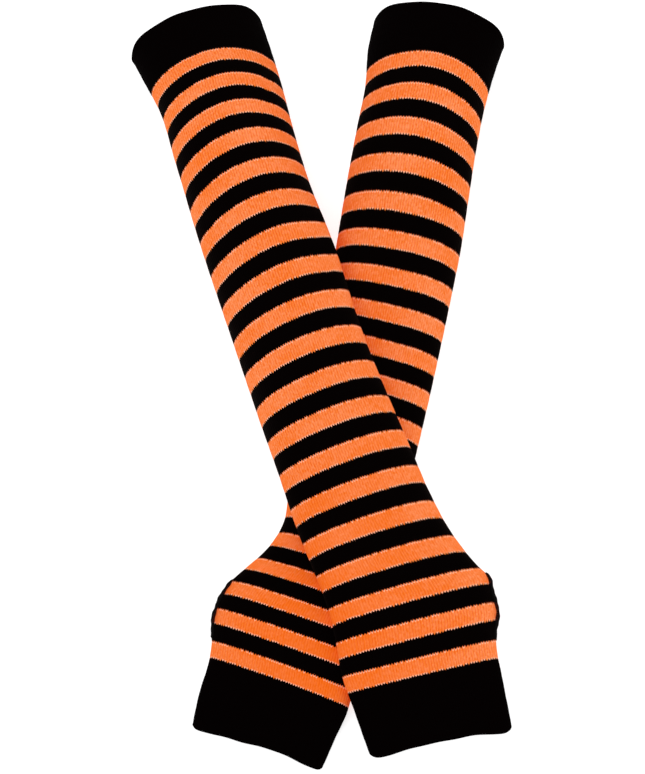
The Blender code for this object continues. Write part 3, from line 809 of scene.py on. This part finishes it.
# Matte knit with its stitches as bump. The striped one is coloured by stitch.
def knitMaterial(name):
    specular, sheen, sheenTint = yarn["looks"][name]
    material = bpy.data.materials.new(name)
    material.use_nodes = True
    tree = material.node_tree
    shader = tree.nodes["Principled BSDF"]
    shader.inputs["Roughness"].default_value = yarn["roughness"]
    shader.inputs["Specular IOR Level"].default_value = specular
    shader.inputs["Sheen Weight"].default_value = sheen
    shader.inputs["Sheen Roughness"].default_value = yarn["sheenRoughness"]
    shader.inputs["Sheen Tint"].default_value = sheenTint
    uv = tree.nodes.new("ShaderNodeUVMap")
    uv.uv_map = "knit"
    wale, course, _ = separate(tree, uv.outputs[0])
    height, fromMiddle = stitchHeight(tree, wale, course)
    bump = tree.nodes.new("ShaderNodeBump")
    bump.inputs["Distance"].default_value = yarn["bumpDepth"] * mm
    bump.inputs["Strength"].default_value = yarn["bumpStrength"]
    tree.links.new(height, bump.inputs["Height"])
    tree.links.new(bump.outputs[0], shader.inputs["Normal"])
    if name == "black knit":
        shader.inputs["Base Color"].default_value = yarn["black"]
        return material
    isOrange, tick = stripeShares(tree, wale, fromMiddle)
    fluffAndHighlight = fluffAndHighlightShare(tree, uv.outputs[0], wale, course)
    # painted shade: deeper orange where the stitch height is low, between the wales
    body = mixColours(tree, height, yarn["orangeGapShade"], yarn["orange"])
    # paler yarn streaks and patches, and painted highlight on the legs of stitches
    body = mixColours(tree, fluffAndHighlight, body, yarn["orangePale"])
    # painted shade: deeper orange where the warmers face each other and beside the upper rims
    body = mixColours(tree, paintedShadeShare(tree), body, yarn["orangePaintedShade"])
    body = mixColours(tree, tick, body, yarn["tick"])
    colour = mixColours(tree, isOrange, yarn["black"], body)
    tree.links.new(colour, shader.inputs["Base Color"])
    # painted glow: the orange stripes give off red light of their own
    paintedGlow = mixColours(tree, isOrange, (0, 0, 0, 1), yarn["paintedGlowColour"])
    tree.links.new(paintedGlow, shader.inputs["Emission Color"])
    shader.inputs["Emission Strength"].default_value = yarn["paintedGlow"]
    return material


def plainMaterial(name, colour, roughness, specular):
    material = bpy.data.materials.new(name)
    material.use_nodes = True
    shader = material.node_tree.nodes["Principled BSDF"]
    shader.inputs["Base Color"].default_value = colour
    shader.inputs["Roughness"].default_value = roughness
    shader.inputs["Specular IOR Level"].default_value = specular
    return material, shader


stripedKnit = knitMaterial("striped knit")
blackKnit = knitMaterial("black knit")
edgingThread, _ = plainMaterial("edging thread", overlock["colour"], overlock["roughness"],
                                overlock["specular"])
print("materials made")

for warmer in (backWarmer, frontWarmer):
    length = lengthOf(warmer)
    edges = stripeEdges(warmer)
    armStart, armEnd = edges[0] - knit["seamInset"], edges[-1] + knit["seamInset"]
    cuff, *_ = knitPiece(warmer, "UpperCuff", 0.0, armStart, [0.0], blackKnit,
                         ["upper_cuff"])
    arm, *grids = knitPiece(warmer, "StripedArm", armStart, armEnd, [], stripedKnit,
                            ["striped_upper_arm", "striped_forearm", "striped_wrist"])
    hand, *_ = knitPiece(warmer, "HandCuff", armEnd, length, [length], blackKnit,
                         ["hand_cuff"])
    thumbEdging(warmer, *grids, edgingThread)
print("warmers made")

# White studio: a pale floor, soft light from everywhere and two soft lamps.
studio = {
    "floorSize": 8.0,
    "floorDrop": 0.0003,         # just under the part's resting plane
    "floorColour": (0.60, 0.60, 0.60, 1),
    "floorRoughness": 0.9,
    "floorGlow": 0.72,
    "white": (1, 1, 1, 1),
    "worldStrength": 0.73,
    "lamps": (                   # name, power, size and place
        ("soft lamp", 26.0, 2.2, (-0.9, 0.5, 2.4)),
        ("side lamp", 6.0, 1.0, (1.5, -0.7, 0.8)),
    ),
}

floorMesh = bpy.data.meshes.new("floor")
half, drop = studio["floorSize"] / 2, studio["floorDrop"]
floorMesh.from_pydata([(-half, -half, -drop), (half, -half, -drop), (half, half, -drop),
                       (-half, half, -drop)], [], [(0, 1, 2, 3)])
floor = bpy.data.objects.new("floor", floorMesh)
bpy.context.scene.collection.objects.link(floor)
paleFloor, floorShader = plainMaterial("pale floor", studio["floorColour"],
                                       studio["floorRoughness"], 0.0)
floorShader.inputs["Emission Color"].default_value = studio["white"]
floorShader.inputs["Emission Strength"].default_value = studio["floorGlow"]
floorMesh.materials.append(paleFloor)

world = bpy.data.worlds.new("studio")
world.use_nodes = True
background = world.node_tree.nodes["Background"]
background.inputs["Color"].default_value = studio["white"]
background.inputs["Strength"].default_value = studio["worldStrength"]
bpy.context.scene.world = world

for lampName, power, size, place in studio["lamps"]:
    lampData = bpy.data.lights.new(lampName, "AREA")
    lampData.energy = power
    lampData.size = size
    lamp = bpy.data.objects.new(lampName, lampData)
    lamp.location = place
    lamp.rotation_euler = Vector(place).to_track_quat("Z", "Y").to_euler()
    bpy.context.scene.collection.objects.link(lamp)
bpy.context.scene.view_settings.view_transform = "Standard"

# Camera: above the pair, leaning back a little towards the hand ends.
view = {
    "lean": 18.0,                # degrees from straight above
    "distance": 1.2,             # from the point that it looks at, in metres
    "aimHeight": 0.02,
    "focal": 82.08,
    "sensor": 36.0,
}
lean = math.radians(view["lean"])
cameraData = bpy.data.cameras.new("camera")
cameraData.sensor_fit = "VERTICAL"
cameraData.sensor_height = view["sensor"]
cameraData.lens = view["focal"]
camera = bpy.data.objects.new("camera", cameraData)
camera.location = (toFrame[0] * mm, toFrame[1] * mm - view["distance"] * math.sin(lean),
                   view["aimHeight"] + view["distance"] * math.cos(lean))
camera.rotation_euler = (lean, 0, 0)
bpy.context.scene.collection.objects.link(camera)
bpy.context.scene.camera = camera
print("studio made")
